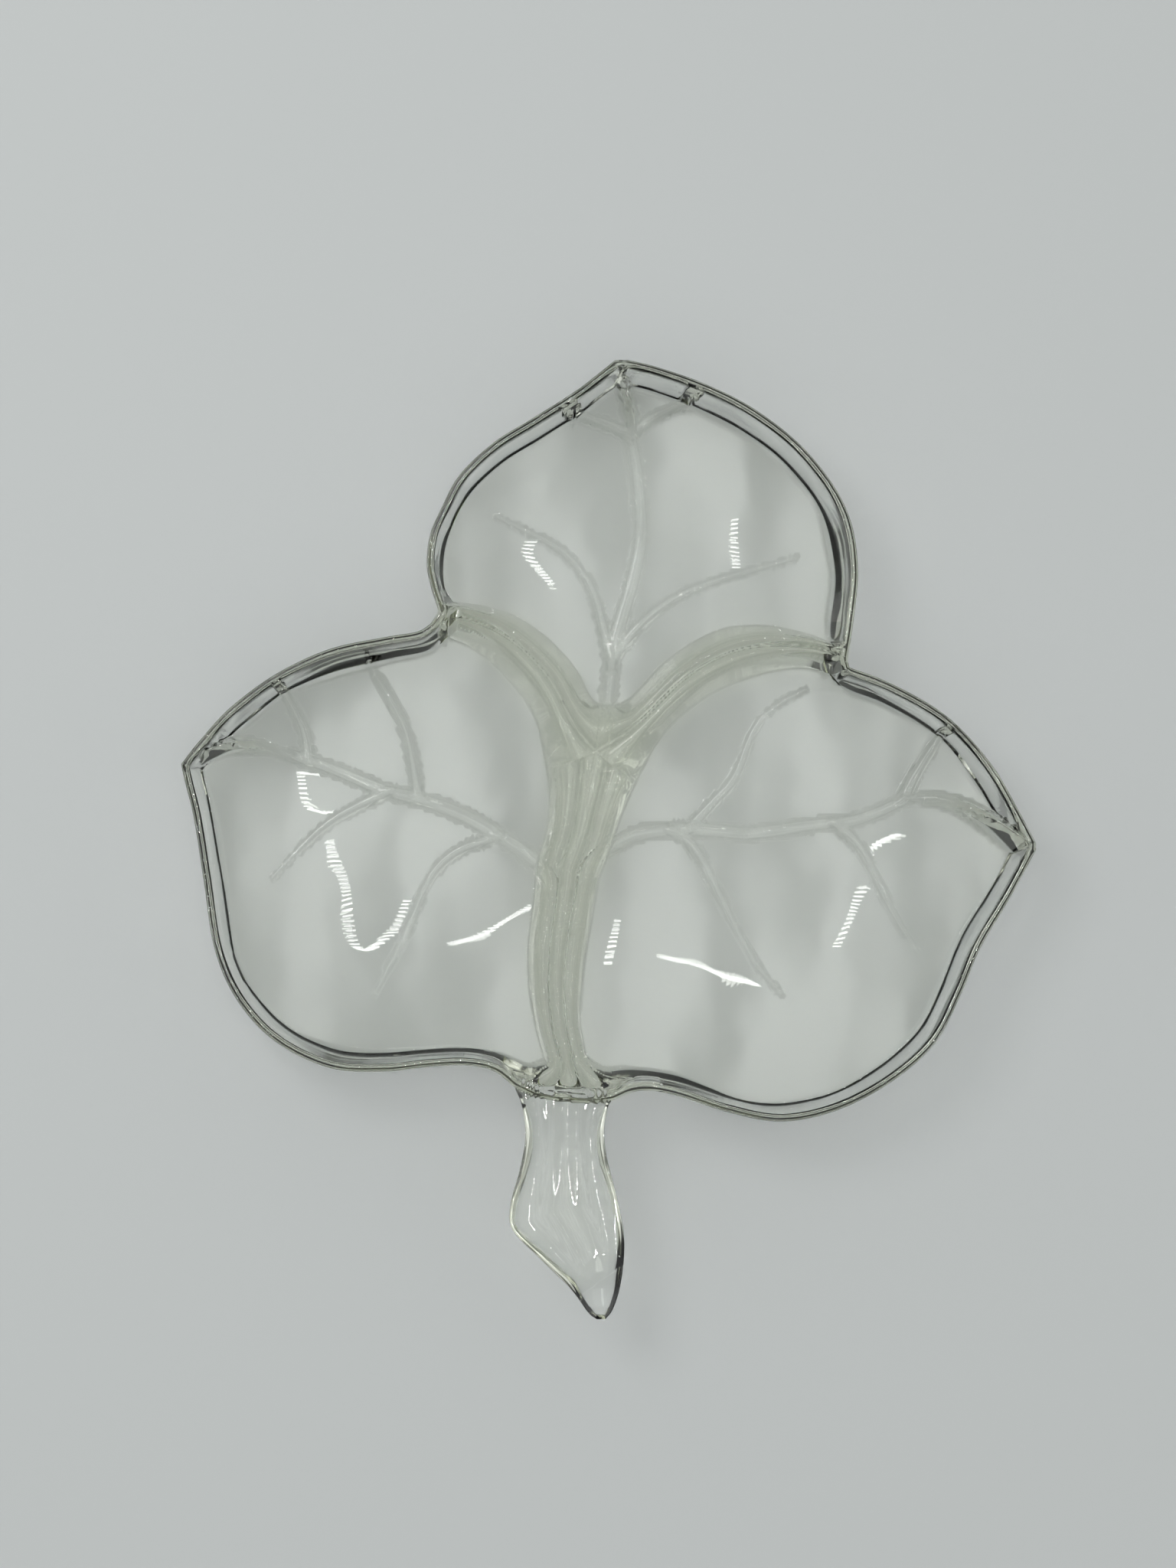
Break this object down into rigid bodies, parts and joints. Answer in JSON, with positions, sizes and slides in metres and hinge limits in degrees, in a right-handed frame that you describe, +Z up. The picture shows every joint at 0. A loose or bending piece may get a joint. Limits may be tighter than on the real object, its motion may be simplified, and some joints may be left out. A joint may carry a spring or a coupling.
{
  "type": "leaf dish",
  "caption": "Clear pressed-glass relish dish shaped as joined heart-shaped leaves, with walled bowls, raised veins, dividing ridges and a twig stem handle.",
  "frame": {"origin": "bottom centre of the bounding box, on the plane that the flat base stands on", "axes": "+Z up out of the bowls, +Y from the stem handle towards the tip of the top leaf, +X to the right leaf"},
  "size_m": [0.238, 0.267, 0.0241],
  "materials": {
    "glass": "clear pressed glass, fire polished, faint grey-green tint"
  },
  "bodies": {
    "root": {"top_leaf": "glass", "left_leaf": "glass", "right_leaf": "glass", "left_ridge": "glass", "right_ridge": "glass", "stalk_bundle": "glass", "stem_handle": "glass"}
  },
  "joints": []
}
